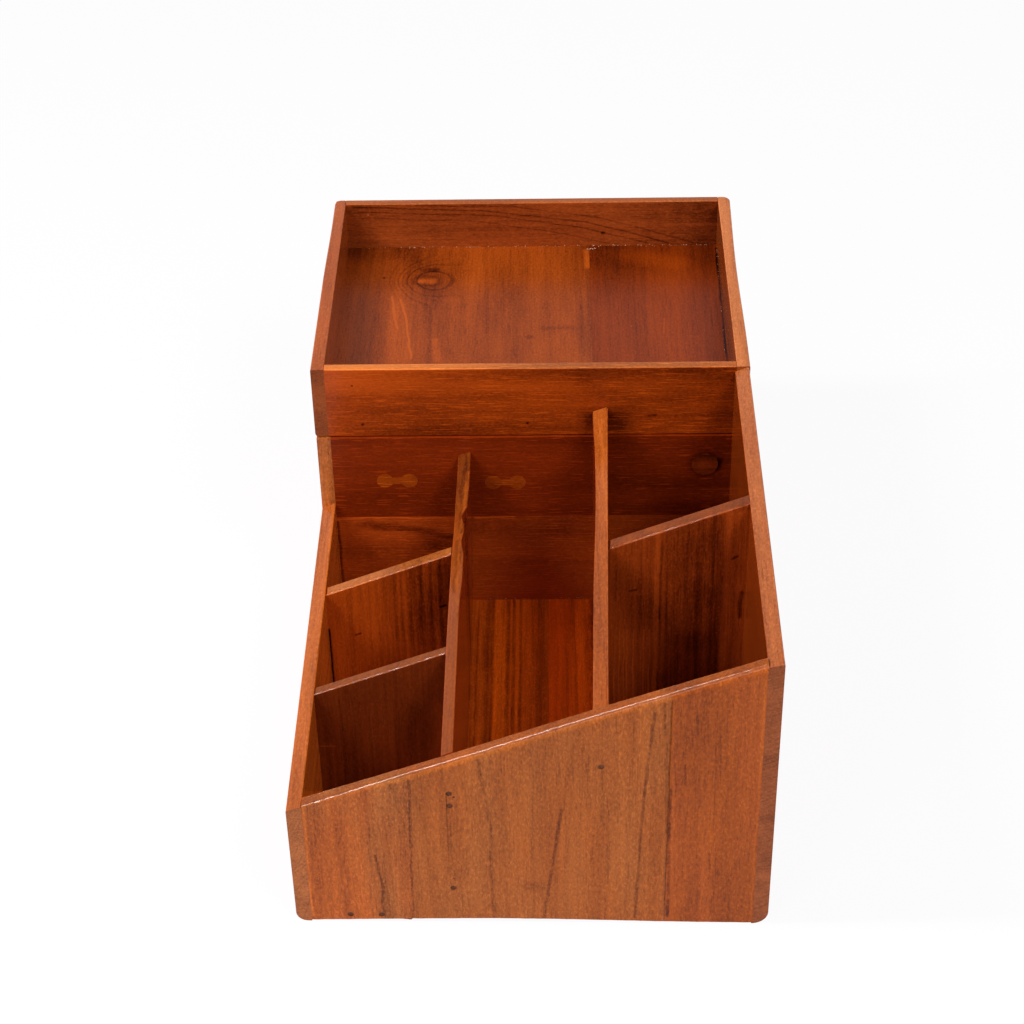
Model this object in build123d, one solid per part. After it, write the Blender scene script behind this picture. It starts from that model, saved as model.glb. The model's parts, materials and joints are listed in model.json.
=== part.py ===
import os
from math import cos, radians, sin, tan

from build123d import *

# Desk organizer with a lift lid, in plain varnished boards, butt-jointed and glued.
# The front half is an open tray of six cells whose board tops all lie on one slope, low on the left
# and high on the right. The back half is a closed box with a shallow tray for a lid, on two hinges.
# X runs across from the low side to the high side, Y from front to back, Z up. All in millimetres.

# Overall sizes.
body_width = 203.0
body_length = 361.6         # along the low side
front_length = 204.2        # from the front face to the face of the wall between the two halves
front_skew = 2.6            # the front is this much out of square, further forward at the high side
low_height = 66.0           # top of the low side
full_height = 148.0         # top of the high side and of the lid's rim

# Lid.
lid_height = 38.2
tray_depth = 26.0
lid_gap = 0.3               # shadow gap between the lid and the box that it closes
lid_overhang = 0.5          # each side of the lid stands this far past the box
lid_setback = 1.2           # the lid's front stands this far behind the face of the wall below
lid_play = 0.3              # clearance between the lid and the front half's boards
lid_max_angle = 100.0

# Board thicknesses.
base_thickness = 10.0
low_side_thickness = 6.6
high_side_thickness = 6.5
front_thickness = 5.8
wall_thickness = 6.5
back_thickness = 6.5
lid_side_thickness = 6.3
lid_front_thickness = 4.8
lid_back_thickness = 4.6
lid_floor_thickness = 6.0

# The two long dividers: centre line from the low side's outer face, thickness.
left_divider_offset = 68.4
left_divider_thickness = 6.0
right_divider_offset = 132.7
right_divider_thickness = 6.5
right_divider_skew = 3.6    # its back end sits this much further right than its front end
divider_rise = 4.4          # how far the dividers' tops rise above the slope at the wall
low_side_rise = 2.5         # the same for the low side's top

# The three cross partitions: centre line from the front face, thickness.
front_partition_offset = 71.5
front_partition_thickness = 4.8
middle_partition_offset = 140.3
middle_partition_thickness = 5.8
right_partition_offset = 107.8
right_partition_thickness = 6.4

# Joints between edge-glued boards, measured from the low side's outer face or from the desk.
front_joints = (51.6, 158.6)
base_strip_width = 28.1
base_first_joint = 24.8
base_joint_count = 6
low_side_joint = 37.5
high_side_joint = 98.5
wall_joint = 62.7
back_joint = 58.0
lid_floor_joint = 131.2

# Rounding of the edges.
arris_radius = 0.7
foot_radius = 3.2           # lower outer edges of the long sides
corner_radius = 4.0         # upright corners at the back
lid_heel_radius = 2.2       # lower outer edges of the lid's side rails

# Wooden repairs let into the wall: two dog-bone keys and a round plug.
key_length = 19.6
key_end_radius = 4.0
key_waist = 3.6
key_depth = 3.0
key_insets = (37.1, 88.9)   # each key's middle, from the low side's outer face
key_drops = (25.1, 26.5)    # and below the wall's top
plug_radius = 6.25
plug_depth = 4.0
plug_inset = 12.4           # the plug's middle, from the high side's inner face
plug_drop = 16.6            # and below the wall's top
inlay_clearance = 0.05

# Panel pins driven through the front boards into the dividers' ends and the base.
pin_shank_radius = 0.8
pin_head_radius = 1.3
pin_head_height = 0.8
pin_length = 20.0
pin_sink = 0.3              # heads are punched this far below the surface
pin_clearance = 0.05
left_divider_pins = (20.8, 69.7, 76.6)
right_divider_pins = (92.1,)
base_pins = (23.5, 36.9)
base_pin_height = 4.0

# Hinges: solid brass butts with a stop, screwed to the back of the box and of the lid.
hinge_length = 30.0
hinge_inset = 41.5          # from each outer side to the middle of its hinge
leaf_height = 11.0
leaf_thickness = 1.0
leaf_corner_radius = 1.0
knuckle_radius = 2.0
knuckle_count = 3
knuckle_gap = 0.2
hinge_pin_radius = 0.9
hinge_pin_clearance = 0.05
stop_height = 4.2           # the stop's shoulder reaches this far from the pin's axis
stop_margin = 0.5           # degrees left open between the two stops at the limit, on each leaf
screw_shank_radius = 0.9
screw_head_radius = 1.7
screw_length = 5.2
screw_spacing = 20.0
screw_offset = 7.6          # from the pin's axis
screw_clearance = 0.05
slot_width = 0.5
slot_depth = 0.4

# Places that follow from the sizes above.
x_low = -body_width / 2
x_high = body_width / 2
y_foremost = -(front_skew + body_length + 2 * knuckle_radius) / 2
y_front = y_foremost + front_skew
y_wall = y_front + front_length
y_back = y_front + body_length
z_lid = full_height - lid_height
z_seam = z_lid - lid_gap
x_low_in = x_low + low_side_thickness
x_high_in = x_high - high_side_thickness
y_front_in = y_front + front_thickness
y_wall_in = y_wall + wall_thickness
y_back_in = y_back - back_thickness
y_lid = y_wall + lid_setback
slope = (full_height - low_height) / body_width
hinge_axis = Vector(0, y_back + knuckle_radius, z_seam + lid_gap / 2)


def block(x, y, z):
    """A plain board between the given pairs of limits."""
    size = [limits[1] - limits[0] for limits in (x, y, z)]
    centre = [(limits[0] + limits[1]) / 2 for limits in (x, y, z)]
    return Pos(*centre) * Box(*size)


def top_plane(rise):
    """The sloping plane of the front half's tops, rising by the given height from front to wall."""
    across = Vector(1, 0, slope)
    along = Vector(0, 1, rise / front_length)
    return Plane(origin=(x_low, y_front, low_height), x_dir=across, z_dir=across.cross(along))


def front_plane(depth=0.0):
    """The upright plane of the front face, or one parallel to it this far behind, facing the back."""
    across = Vector(body_width, -front_skew, 0)
    return Plane(origin=(x_low, y_front + depth, 0), x_dir=across, z_dir=across.cross(Vector(0, 0, -1)))


def behind_front(board, depth=0.0):
    """What is left of a board behind the front face, or behind a plane this far inside it."""
    return split(board, bisect_by=front_plane(depth), keep=Keep.TOP)


def edges_on(part, *planes):
    """Edges of which both ends lie on every one of the planes."""
    return [
        edge
        for edge in part.edges()
        if all(
            abs(plane.to_local_coords(vertex.center()).Z) < 1e-4
            for plane in planes
            for vertex in edge.vertices()
        )
    ]


def cut_to_slope(board, rise=0.0):
    """The board with its top cut to the slope and the top's long edges rounded."""
    plane = top_plane(rise)
    cut = split(board, bisect_by=plane, keep=Keep.BOTTOM)
    long_edges = [
        edge for edge in edges_on(cut, plane) if edge.length > 3 * arris_radius + front_thickness
    ]
    return fillet(long_edges, arris_radius)


def saw(panel, normal, places):
    """The panel sawn into edge-glued boards at the given places along an axis."""
    boards = []
    rest = panel
    for place in places:
        plane = Plane(origin=normal * place, z_dir=normal)
        boards.append(split(rest, bisect_by=plane, keep=Keep.BOTTOM))
        rest = split(rest, bisect_by=plane, keep=Keep.TOP)
    return [*boards, rest]


def edges_near(part, axis, **limits):
    """Edges along an axis whose centre lies at the given coordinates."""
    return [
        edge
        for edge in part.edges().filter_by(axis)
        if all(abs(getattr(edge.center(), name) - value) < 1e-3 for name, value in limits.items())
    ]


def along_x(radius, x, y, z):
    """A cylinder along X between a pair of limits."""
    return Pos((x[0] + x[1]) / 2, y, z) * Rot(0, 90, 0) * Cylinder(radius, x[1] - x[0])


def along_y(radius, x, y, z):
    """A cylinder along Y between a pair of limits."""
    return Pos(x, (y[0] + y[1]) / 2, z) * Rot(90, 0, 0) * Cylinder(radius, y[1] - y[0])


parts = {}

# Front half: the two long sides. Each is two boards high, edge-glued.
low_side = block((x_low, x_low_in), (y_foremost, y_wall), (0, full_height))
low_side = cut_to_slope(low_side, low_side_rise)
low_side = fillet(edges_near(low_side, Axis.Y, X=x_low, Z=0), foot_radius)
low_side = behind_front(low_side)
parts["low_side_lower"], parts["low_side_upper"] = saw(low_side, Vector(0, 0, 1), [low_side_joint])

# Above the seam, what is as high as the lid runs on over the wall's top and ends just short of the lid.
y_tall = y_lid - lid_play
box_room = block((x_low, x_high), (y_wall, y_back), (0, z_seam))
high_side = block((x_high_in, x_high), (y_foremost, y_tall), (0, full_height + 1))
high_side = cut_to_slope(high_side)
high_side = fillet(edges_near(high_side, Axis.Y, X=x_high, Z=0), foot_radius)
high_side = behind_front(high_side) - box_room
parts["high_side_lower"], parts["high_side_upper"] = saw(high_side, Vector(0, 0, 1), [high_side_joint])

# Front panel, between the sides: three upright boards, bored for the panel pins.
front_panel = block((x_low_in, x_high_in), (y_foremost, y_front_in), (0, full_height))
front_panel = behind_front(front_panel)
front_panel = split(front_panel, bisect_by=front_plane(front_thickness), keep=Keep.BOTTOM)
front_panel = cut_to_slope(front_panel)
front_panel = fillet(edges_on(front_panel, front_plane(), Plane.XY), arris_radius)

# Long dividers from the front panel to the wall.
left_divider_x = x_low + left_divider_offset
left_divider = block(
    (left_divider_x - left_divider_thickness / 2, left_divider_x + left_divider_thickness / 2),
    (y_foremost, y_wall),
    (base_thickness, full_height),
)
left_divider = behind_front(cut_to_slope(left_divider, divider_rise), front_thickness)

right_divider_x = x_low + right_divider_offset
divider_span = y_wall - y_front_in


def right_divider_face(side, y):
    """X of the skewed divider's left (-1) or right (1) face at a place along it."""
    along = (y - y_front_in) / divider_span - 0.5
    return right_divider_x + right_divider_skew * along + side * right_divider_thickness / 2


outline = [
    (right_divider_face(-1, y_foremost), y_foremost),
    (right_divider_face(1, y_foremost), y_foremost),
    (right_divider_face(1, y_tall), y_tall),
    (right_divider_face(-1, y_tall), y_tall),
]
right_divider = Pos(0, 0, base_thickness) * extrude(
    make_face(Polyline(*outline, close=True)), full_height - base_thickness
)
right_divider = behind_front(cut_to_slope(right_divider, divider_rise), front_thickness) - box_room

# Cross partitions: two left of the left divider, one right of the right divider.
left_cell_right = left_divider_x - left_divider_thickness / 2


def left_partition(offset, thickness):
    """A partition from the low side to the left divider."""
    y = y_front + offset
    limits = (y - thickness / 2, y + thickness / 2)
    return cut_to_slope(block((x_low_in, left_cell_right), limits, (base_thickness, full_height)))


parts["partition_left_front"] = left_partition(front_partition_offset, front_partition_thickness)
parts["partition_left_back"] = left_partition(middle_partition_offset, middle_partition_thickness)

right_partition_y = y_front + right_partition_offset
right_near = right_partition_y - right_partition_thickness / 2
right_far = right_partition_y + right_partition_thickness / 2
outline = [
    (right_divider_face(1, right_near), right_near),
    (x_high_in, right_near),
    (x_high_in, right_far),
    (right_divider_face(1, right_far), right_far),
]
partition_right = Pos(0, 0, base_thickness) * extrude(
    make_face(Polyline(*outline, close=True)), full_height - base_thickness
)
parts["partition_right"] = cut_to_slope(partition_right)

# Base: narrow strips, edge-glued, running under both halves between the outer boards.
base = block((x_low_in, x_high_in), (y_foremost, y_back_in), (0, base_thickness))
base = behind_front(base, front_thickness)
base_joints = [x_low + base_first_joint + base_strip_width * step for step in range(base_joint_count)]

# Panel pins, in the front boards and in what they fasten.
pin_places = [(left_divider_x, height) for height in left_divider_pins]
pin_places += [(right_divider_x - right_divider_skew / 2, height) for height in right_divider_pins]
pin_places += [(x_low + offset, base_pin_height) for offset in base_pins]


def panel_pin(x, z, clearance=0.0, mouth=0.0):
    """A flat-headed pin driven in from the front face, or with a clearance the hole for it."""
    head_face = y_front - front_skew * (x - x_low) / body_width + pin_sink
    head_back = head_face + pin_head_height
    head = along_y(pin_head_radius + clearance, x, (head_face - mouth, head_back), z)
    shank = along_y(pin_shank_radius + clearance, x, (head_back, head_face + pin_length), z)
    return head + shank


pin_holes = [panel_pin(x, z, pin_clearance, 2 * pin_sink) for x, z in pin_places]
parts["front_pins"] = Compound(children=[panel_pin(x, z) for x, z in pin_places])
parts["divider_left"] = left_divider - pin_holes
parts["divider_right"] = right_divider - pin_holes
for index, board in enumerate(saw(front_panel - pin_holes, Vector(1, 0, 0), [x_low + j for j in front_joints])):
    parts[f"front_board_{index + 1}"] = board
for index, strip in enumerate(saw(base - pin_holes, Vector(1, 0, 0), base_joints)):
    parts[f"base_strip_{index + 1}"] = strip

# Back half: the box's two sides, with upright grain, and the wall between the halves.
for name, x, outer in (
    ("box_side_left", (x_low, x_low_in), x_low),
    ("box_side_right", (x_high_in, x_high), x_high),
):
    side = block(x, (y_wall, y_back), (0, z_seam))
    side = fillet(edges_near(side, Axis.Z, X=outer, Y=y_back), corner_radius)
    parts[name] = fillet(edges_near(side, Axis.Y, X=outer, Z=0), arris_radius)


def dog_bone(x, z, clearance=0.0):
    """A key with two round ends joined by a waist, let into the wall's face."""
    end_radius = key_end_radius + clearance
    reach = key_length / 2 - key_end_radius
    depth = (y_wall, y_wall + key_depth)
    waist_half = key_waist / 2 + clearance
    key = block((x - reach, x + reach), depth, (z - waist_half, z + waist_half))
    for side in (-1, 1):
        key += along_y(end_radius, x + side * reach, depth, z)
    return key


key_centres = [(x_low + inset, z_seam - drop) for inset, drop in zip(key_insets, key_drops)]
plug_centre = (x_high_in - plug_inset, z_seam - plug_drop)
wall = block((x_low_in, x_high_in), (y_wall, y_wall_in), (base_thickness, z_seam))
for x, z in key_centres:
    wall -= dog_bone(x, z, inlay_clearance)
wall -= along_y(
    plug_radius + inlay_clearance, plug_centre[0], (y_wall - 1, y_wall + plug_depth), plug_centre[1]
)
parts["wall_board_lower"], parts["wall_board_upper"] = saw(wall, Vector(0, 0, 1), [wall_joint])
parts["key_left"], parts["key_right"] = [dog_bone(x, z) for x, z in key_centres]
parts["round_plug"] = along_y(
    plug_radius, plug_centre[0], (y_wall, y_wall + plug_depth), plug_centre[1]
)

# Hinge places and the screws that hold the leaves.
hinge_places = {"left": x_low + hinge_inset, "right": x_high - hinge_inset}


def screw(x, z, clearance=0.0, mouth=0.0):
    """A countersunk screw driven in from the back, or with a clearance the hole for it."""
    face = y_back + leaf_thickness
    tip = face - screw_length
    shank = along_y(screw_shank_radius + clearance, x, (tip, face), z)
    head_depth = screw_head_radius - screw_shank_radius
    sink = Rot(-90, 0, 0) * Cone(
        screw_shank_radius + clearance, screw_head_radius + clearance, head_depth
    )
    body = shank + Pos(x, face - head_depth / 2, z) * sink
    if mouth:
        return body + along_y(screw_head_radius + clearance, x, (face, face + mouth), z)
    slot = Pos(x, face, z) * Box(2 * screw_head_radius + 1, 2 * slot_depth, slot_width)
    return body - slot


def screw_places(side):
    """Where the screws go on the lid's leaves (side 1) or on the box's leaves (side -1)."""
    return [
        (x + step * screw_spacing / 2, hinge_axis.Z + side * screw_offset)
        for x in hinge_places.values()
        for step in (-1, 1)
    ]


lid_screw_holes = [screw(x, z, screw_clearance, knuckle_radius) for x, z in screw_places(1)]
box_screw_holes = [screw(x, z, screw_clearance, knuckle_radius) for x, z in screw_places(-1)]
parts["lid_hinge_screws"] = Compound(children=[screw(x, z) for x, z in screw_places(1)])
parts["box_hinge_screws"] = Compound(children=[screw(x, z) for x, z in screw_places(-1)])

# The box's back, between its sides: two boards.
back = block((x_low_in, x_high_in), (y_back_in, y_back), (0, z_seam)) - box_screw_holes
parts["back_board_lower"], parts["back_board_upper"] = saw(back, Vector(0, 0, 1), [back_joint])

# Lid: four rails round a floor of two boards. The side rails cover the ends of the others.
x_lid = (x_low - lid_overhang, x_high + lid_overhang)
x_lid_in = (x_lid[0] + lid_side_thickness, x_lid[1] - lid_side_thickness)
z_rail = (z_lid, full_height)


def round_rail(rail):
    """A rail with its upper and lower long edges rounded."""
    ends = [edge for edge in rail.edges() if edge.length > 4 * corner_radius + lid_height]
    return fillet(ends, arris_radius)


for name, x, outer in (
    ("lid_rail_left", (x_lid[0], x_lid_in[0]), x_lid[0]),
    ("lid_rail_right", (x_lid_in[1], x_lid[1]), x_lid[1]),
):
    rail = block(x, (y_lid, y_back), z_rail)
    rail = fillet(edges_near(rail, Axis.Y, X=outer, Z=z_lid), lid_heel_radius)
    rail = fillet(edges_near(rail, Axis.Z, X=outer, Y=y_back), corner_radius)
    parts[name] = round_rail(rail)
parts["lid_rail_front"] = round_rail(block(x_lid_in, (y_lid, y_lid + lid_front_thickness), z_rail))
back_rail = round_rail(block(x_lid_in, (y_back - lid_back_thickness, y_back), z_rail))
parts["lid_rail_back"] = back_rail - lid_screw_holes
lid_floor = block(
    x_lid_in,
    (y_lid + lid_front_thickness, y_back - lid_back_thickness),
    (full_height - tray_depth - lid_floor_thickness, full_height - tray_depth),
)
floor_boards = saw(lid_floor, Vector(1, 0, 0), [x_low + lid_floor_joint])
parts["lid_floor_left"], parts["lid_floor_right"] = floor_boards


def hinge_leaf(x, side, own, others):
    """A leaf with its knuckles and the stop's shoulder, above (side 1) or below (side -1) the pin."""
    axis_y, axis_z = hinge_axis.Y, hinge_axis.Z
    ends = (x - hinge_length / 2, x + hinge_length / 2)
    plate_z = sorted((axis_z, axis_z + side * leaf_height))
    leaf = block(ends, (y_back, y_back + leaf_thickness), plate_z)
    outer_edges = [
        edge
        for edge in leaf.edges().filter_by(Axis.Y)
        if abs(edge.center().Z - axis_z - side * leaf_height) < 1e-3
    ]
    leaf = fillet(outer_edges, leaf_corner_radius)
    # The shoulder's slanting face meets the other leaf's when the lid is fully open.
    stop_angle = radians((180 - lid_max_angle) / 2 - stop_margin)
    face_y = leaf_thickness - knuckle_radius
    shoulder = [
        (face_y, knuckle_radius / 2),
        (knuckle_radius * sin(stop_angle), knuckle_radius * cos(stop_angle)),
        (knuckle_radius, knuckle_radius / tan(stop_angle)),
        (knuckle_radius, stop_height - knuckle_radius / 2),
        (knuckle_radius / 2, stop_height),
        (face_y, stop_height),
    ]
    profile = [(ends[0], axis_y + y, axis_z + side * z) for y, z in shoulder]
    leaf += extrude(make_face(Polyline(*profile, close=True)), hinge_length, dir=(1, 0, 0))
    for knuckle in others:
        room = (knuckle[0] - knuckle_gap / 2, knuckle[1] + knuckle_gap / 2)
        leaf -= along_x(knuckle_radius + knuckle_gap, room, axis_y, axis_z)
    for knuckle in own:
        leaf += along_x(knuckle_radius, knuckle, axis_y, axis_z)
    bore = (ends[0] - 1, ends[1] + 1)
    return leaf - along_x(hinge_pin_radius + hinge_pin_clearance, bore, axis_y, axis_z)


knuckle_pitch = hinge_length / knuckle_count
for name, x in hinge_places.items():
    knuckles = [
        (
            x - hinge_length / 2 + knuckle_pitch * step + (knuckle_gap / 2 if step else 0),
            x - hinge_length / 2
            + knuckle_pitch * (step + 1)
            - (knuckle_gap / 2 if step < knuckle_count - 1 else 0),
        )
        for step in range(knuckle_count)
    ]
    box_knuckles = knuckles[0::2]
    lid_knuckles = knuckles[1::2]
    box_leaf = hinge_leaf(x, -1, box_knuckles, lid_knuckles)
    lid_leaf = hinge_leaf(x, 1, lid_knuckles, box_knuckles)
    parts[f"hinge_{name}_box_leaf"] = box_leaf - box_screw_holes
    parts[f"hinge_{name}_lid_leaf"] = lid_leaf - lid_screw_holes
    pin_x = (x - hinge_length / 2, x + hinge_length / 2)
    parts[f"hinge_{name}_pin"] = along_x(hinge_pin_radius, pin_x, hinge_axis.Y, hinge_axis.Z)

os.makedirs("parts", exist_ok=True)
for name, shape in parts.items():
    export_step(shape, f"parts/{name}.step")
print(f"wrote {len(parts)} sub-parts")
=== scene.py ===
import json
from math import acos, asin, copysign, cos, radians

import bmesh
import bpy
from mathutils import Matrix, Vector, noise

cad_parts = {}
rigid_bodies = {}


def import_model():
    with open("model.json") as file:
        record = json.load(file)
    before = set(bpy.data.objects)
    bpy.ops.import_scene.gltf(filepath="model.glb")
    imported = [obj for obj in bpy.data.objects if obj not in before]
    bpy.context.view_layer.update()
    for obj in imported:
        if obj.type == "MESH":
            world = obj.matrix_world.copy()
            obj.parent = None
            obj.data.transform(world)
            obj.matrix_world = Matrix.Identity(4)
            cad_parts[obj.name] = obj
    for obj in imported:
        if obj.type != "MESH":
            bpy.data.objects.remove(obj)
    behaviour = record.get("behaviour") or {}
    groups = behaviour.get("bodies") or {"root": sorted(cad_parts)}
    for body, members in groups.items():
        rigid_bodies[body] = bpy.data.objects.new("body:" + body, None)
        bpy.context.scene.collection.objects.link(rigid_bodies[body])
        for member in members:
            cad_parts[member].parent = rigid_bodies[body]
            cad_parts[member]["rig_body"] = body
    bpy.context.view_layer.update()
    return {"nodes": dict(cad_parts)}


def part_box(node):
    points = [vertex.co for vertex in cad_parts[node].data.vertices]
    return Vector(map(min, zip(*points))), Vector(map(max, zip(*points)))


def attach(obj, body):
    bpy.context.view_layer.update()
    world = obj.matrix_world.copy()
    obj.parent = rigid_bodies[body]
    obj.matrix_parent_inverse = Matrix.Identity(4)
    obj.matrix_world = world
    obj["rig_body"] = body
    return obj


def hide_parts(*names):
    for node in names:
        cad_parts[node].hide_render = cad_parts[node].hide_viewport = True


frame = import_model()

# The organizer stands on a white paper sheet that runs on into a white surround. Two soft lamps light
# it from high in front: the stronger one a little to the right, the other further to the left. A
# narrow one high on the left draws the glints along the arrises, and a wide one overhead reaches into
# the cells.


def linear(hex_colour):
    """An sRGB hex colour as linear red, green, blue and alpha."""
    channels = [int(hex_colour[i : i + 2], 16) / 255 for i in (1, 3, 5)]
    return [c / 12.92 if c <= 0.04045 else ((c + 0.055) / 1.055) ** 2.4 for c in channels] + [1.0]


def add(tree, kind, inputs=None, **settings):
    """Adds a node with its settings. An input is a value, a socket, or a node for its first used output."""
    node = tree.nodes.new(kind)
    for name, value in settings.items():
        setattr(node, name, value)
    for key, value in (inputs or {}).items():
        if isinstance(value, bpy.types.Node):
            value = next(socket for socket in value.outputs if socket.enabled)
        if isinstance(value, bpy.types.NodeSocket):
            tree.links.new(value, node.inputs[key])
        else:
            node.inputs[key].default_value = value
    return node


def new_material(name):
    """An empty material and its node tree."""
    material = bpy.data.materials.new(name)
    material.use_nodes = True
    material.node_tree.nodes.clear()
    return material, material.node_tree


def seen_directly(tree):
    """One for rays that show the white itself: from the camera, in a reflection or through glass."""
    rays = add(tree, "ShaderNodeLightPath").outputs
    inputs = {0: rays["Is Camera Ray"], 1: rays["Is Glossy Ray"]}
    seen = add(tree, "ShaderNodeMath", inputs, operation="MAXIMUM")
    return add(tree, "ShaderNodeMath", {0: seen, 1: rays["Is Transmission Ray"]}, operation="MAXIMUM")


# White paper: matt, and so bright that it runs into the surround. A part of it stays lit by the
# lamps alone and so keeps the organizer's soft shadow.
paper_white = "#fdfcfd"
paper_bright_share = 0.93
paper_glow = 1.015
paper, tree = new_material("matt_white_paper")
lit = add(tree, "ShaderNodeBsdfDiffuse", {"Color": linear("#f6f5f6")})
bright = add(tree, "ShaderNodeEmission", {"Color": linear(paper_white), "Strength": paper_glow})
inputs = {0: seen_directly(tree), 1: paper_bright_share}
share = add(tree, "ShaderNodeMath", inputs, operation="MULTIPLY")
blend = add(tree, "ShaderNodeMixShader", {0: share, 1: lit, 2: bright})
add(tree, "ShaderNodeOutputMaterial", {"Surface": blend})

sheet_half = 3.0
mesh = bpy.data.meshes.new("paper_sheet")
corners = [(x * sheet_half, y * sheet_half, 0) for x, y in ((-1, -1), (1, -1), (1, 1), (-1, 1))]
mesh.from_pydata(corners, [], [(0, 1, 2, 3)])
mesh.materials.append(paper)
sheet = bpy.data.objects.new("paper_sheet", mesh)
bpy.context.scene.collection.objects.link(sheet)

fill_light = 0.22
world = bpy.data.worlds.new("white_surround")
bpy.context.scene.world = world
world.use_nodes = True
tree = world.node_tree
tree.nodes.clear()
fill = add(tree, "ShaderNodeBackground", {"Color": linear("#ffffff"), "Strength": fill_light})
white = add(tree, "ShaderNodeBackground", {"Color": linear(paper_white), "Strength": 1.0})
blend = add(tree, "ShaderNodeMixShader", {0: seen_directly(tree), 1: fill, 2: white})
add(tree, "ShaderNodeOutputWorld", {"Surface": blend})

# Where each lamp stands, its width and height in metres, and its watts.
lamps_aim = Vector((0, 0, 0.08))
for name, place, width, height, power in (
    ("lamp_right", (0.72, -1.10, 1.58), 0.60, 0.60, 18.5),
    ("lamp_left", (-0.80, -1.36, 1.26), 0.60, 0.60, 7.5),
    ("lamp_beside", (-0.935, -0.187, 1.28), 0.10, 0.50, 17.5),
    ("lamp_above", (0.0, -0.10, 2.00), 2.40, 2.40, 6),
):
    lamp = bpy.data.lights.new(name, "AREA")
    lamp.shape = "RECTANGLE"
    lamp.size = width
    lamp.size_y = height
    lamp.energy = power
    stand = bpy.data.objects.new(name, lamp)
    aim = (lamps_aim - Vector(place)).to_track_quat("-Z", "Y")
    stand.matrix_world = Matrix.Translation(place) @ aim.to_matrix().to_4x4()
    bpy.context.scene.collection.objects.link(stand)

# The camera stands in front and above, almost square to the front panel, with a long lens.
MM = 0.001
camera_place = (13.5, -875.8, 756.7)
camera_turn = {"yaw": 1.48, "pitch": -37.58, "roll": 1.31}
lens_mm = 82.35
sensor_mm = 36.0

camera = bpy.data.objects.new("camera", bpy.data.cameras.new("camera"))
camera.data.lens = lens_mm
camera.data.sensor_width = sensor_mm
camera.data.clip_start = 0.01
turn = (
    Matrix.Rotation(radians(camera_turn["yaw"]), 4, "Z")
    @ Matrix.Rotation(radians(camera_turn["pitch"]), 4, "X")
    @ Matrix.Rotation(radians(camera_turn["roll"]), 4, "Y")
    @ Matrix.Rotation(radians(90), 4, "X")
)
camera.matrix_world = Matrix.Translation(Vector(camera_place) * MM) @ turn
bpy.context.scene.collection.objects.link(camera)
bpy.context.scene.camera = camera
bpy.context.scene.view_settings.view_transform = "Standard"

# The base: seven narrow strips of reclaimed teak in mixed colours, glued edge to edge and planed flat.
# They lie under both halves, between the sides. All the wood here is teak, sawn from old boards,
# sanded by hand and brushed with a semi-gloss varnish that darkens it to red brown.

# The figure of one teak board, in millimetres with the grain along Z: annual rings round a pith that
# lies beside the board, long fibres, a fine mottle, long bands, slow drifts of tone and open pores.
# Real pores are 0.2 to 0.3 mm wide, too fine to show; here pores and specks are about twice that.
figure = bpy.data.node_groups.new("teak_figure", "ShaderNodeTree")
for name, kind, usual in (
    ("Place", "NodeSocketVector", (0, 0, 0)),
    ("Seed", "NodeSocketFloat", 1.0),
    ("Pith", "NodeSocketVector", (60, 90, 0)),
    ("Wander", "NodeSocketFloat", 9.0),
    ("Ring Gap", "NodeSocketFloat", 7.0),
    ("Ring Swell", "NodeSocketFloat", 0.0),
    ("Ring Depth", "NodeSocketFloat", 0.3),
    ("Fibre Depth", "NodeSocketFloat", 0.5),
    ("Mottle Depth", "NodeSocketFloat", 0.5),
    ("Band Depth", "NodeSocketFloat", 0.4),
    ("Drift Depth", "NodeSocketFloat", 0.5),
    ("Speck Depth", "NodeSocketFloat", -0.1),
    ("Pore Depth", "NodeSocketFloat", 0.1),
):
    figure.interface.new_socket(name, in_out="INPUT", socket_type=kind).default_value = usual
for name in ("Darkness", "Relief", "Varnish Skin", "Hue"):
    figure.interface.new_socket(name, in_out="OUTPUT", socket_type="NodeSocketFloat")
given = add(figure, "NodeGroupInput").outputs
own_place = add(
    figure,
    "ShaderNodeVectorMath",
    {0: given["Seed"], 1: (37, 53, 71), 2: given["Place"]},
    operation="MULTIPLY_ADD",
)
slow = add(figure, "ShaderNodeMapping", {"Vector": own_place, "Scale": (1, 1, 0.16)})
slow = add(figure, "ShaderNodeTexNoise", {"Vector": slow, "Scale": 0.022, "Detail": 2.0})
inputs = {0: slow.outputs["Color"], 1: (0.5, 0.5, 0.5)}
slow = add(figure, "ShaderNodeVectorMath", inputs, operation="SUBTRACT")
slow = add(figure, "ShaderNodeVectorMath", {0: slow, 1: (2, 2, 0)}, operation="MULTIPLY")
bent = add(
    figure,
    "ShaderNodeVectorMath",
    {0: slow, 1: given["Wander"], 2: given["Place"]},
    operation="MULTIPLY_ADD",
)
from_pith = add(figure, "ShaderNodeVectorMath", {0: bent, 1: given["Pith"]}, operation="SUBTRACT")
from_pith = add(figure, "ShaderNodeVectorMath", {0: from_pith, 1: (1, 1, 0)}, operation="MULTIPLY")
from_pith = add(figure, "ShaderNodeVectorMath", {0: from_pith}, operation="LENGTH").outputs["Value"]
rings = add(figure, "ShaderNodeMath", {0: from_pith, 1: given["Ring Gap"]}, operation="DIVIDE")
rings = add(figure, "ShaderNodeMath", {0: rings, 1: given["Ring Swell"]}, operation="ADD")
in_ring = add(figure, "ShaderNodeMath", {0: rings}, operation="FRACT")
which = add(figure, "ShaderNodeMath", {0: rings}, operation="FLOOR")
which = add(figure, "ShaderNodeTexWhiteNoise", {"W": which}, noise_dimensions="1D").outputs["Value"]
late_wood = add(
    figure,
    "ShaderNodeMapRange",
    {"Value": in_ring, "From Min": 0.3, "From Max": 0.92},
    interpolation_type="SMOOTHSTEP",
)
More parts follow.
